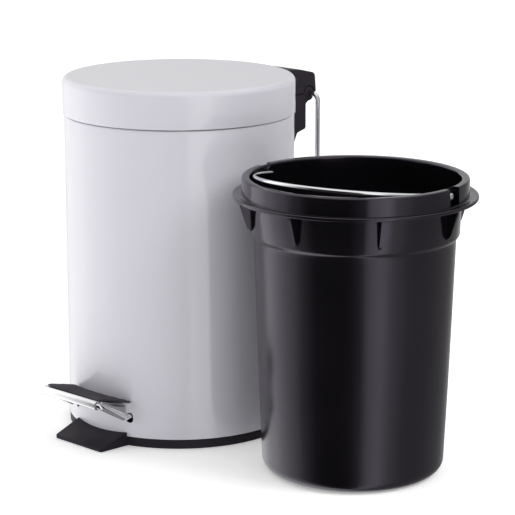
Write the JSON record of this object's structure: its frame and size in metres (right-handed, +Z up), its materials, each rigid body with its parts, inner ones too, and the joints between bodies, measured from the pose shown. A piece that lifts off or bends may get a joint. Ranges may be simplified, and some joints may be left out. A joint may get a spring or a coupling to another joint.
{
  "type": "pedal bin with inner bucket",
  "caption": "Round pedal bin with a hinged lid raised by a pedal and lift rod, a rear carry handle, and a lift-out inner bucket with a wire bail.",
  "frame": {"origin": "on the floor at the can's axis, at the centre of the base's underside", "axes": "+Z up; the pedal faces -Y, the lid hinge and carry handle are on +Y, and the inner bucket stands on the +X side"},
  "size_m": [0.341, 0.229, 0.2585],
  "materials": {
    "paint": "gloss powder coat, light cool grey",
    "steel": "zinc plated",
    "chrome": "bright plated",
    "black_plastic": "fine moulded texture",
    "gloss_black": "smooth gloss",
    "grey_plastic": "moulded",
    "rubber": "ribbed tread"
  },
  "bodies": {
    "can": {"body_shell": "paint", "base": "black_plastic", "bottom_plate": "steel", "pivot_bracket_left": "steel", "pivot_bracket_right": "steel", "rod_guide_lower": "grey_plastic", "rod_guide_upper": "grey_plastic", "body_bracket": "black_plastic", "hinge_pin": "steel", "body_screw_left": "steel", "body_screw_right": "steel"},
    "lid": {"lid_shell": "paint", "lid_bracket": "black_plastic", "lid_screw_left": "steel", "lid_screw_right": "steel"},
    "pedal": {"pedal_lever": "chrome", "pedal_plate": "chrome", "pedal_pad": "rubber"},
    "rod": {"lift_rod": "steel"},
    "handle": {"carry_handle": "chrome"},
    "bucket": {"bucket": "gloss_black"},
    "bail": {"bucket_bail": "chrome"}
  },
  "joints": [
    {"name": "lid_hinge", "type": "hinge", "parent": "can", "child": "lid", "pos_m": [0, 0.108, 0.2355], "axis": [-1, 0, 0], "range_deg": [0, 75]},
    {"name": "pedal_pivot", "type": "hinge", "parent": "can", "child": "pedal", "pos_m": [0, -0.066, 0.0222], "axis": [1, 0, 0], "range_deg": [0, 9.5]},
    {"name": "rod_slide", "type": "slide", "parent": "can", "child": "rod", "axis": [0, 0, 1], "range_m": [0, 0.0236]},
    {"name": "handle_swing", "type": "hinge", "parent": "can", "child": "handle", "pos_m": [0, 0.108, 0.2355], "axis": [1, 0, 0], "range_deg": [0, 140]},
    {"name": "bucket_lift", "type": "slide", "parent": "can", "child": "bucket", "axis": [0, 0, 1], "range_m": [0, 0.3]},
    {"name": "bail_swing", "type": "hinge", "parent": "bucket", "child": "bail", "pos_m": [0.172, 0, 0.2013], "axis": [-0.9869, -0.1616, 0], "range_deg": [0, 165]}
  ],
  "couplings": [
    {"joint": "pedal_pivot", "follows": "lid_hinge", "ratio": 0.1253},
    {"joint": "rod_slide", "follows": "lid_hinge", "m_per_rad": 0.01787}
  ]
}
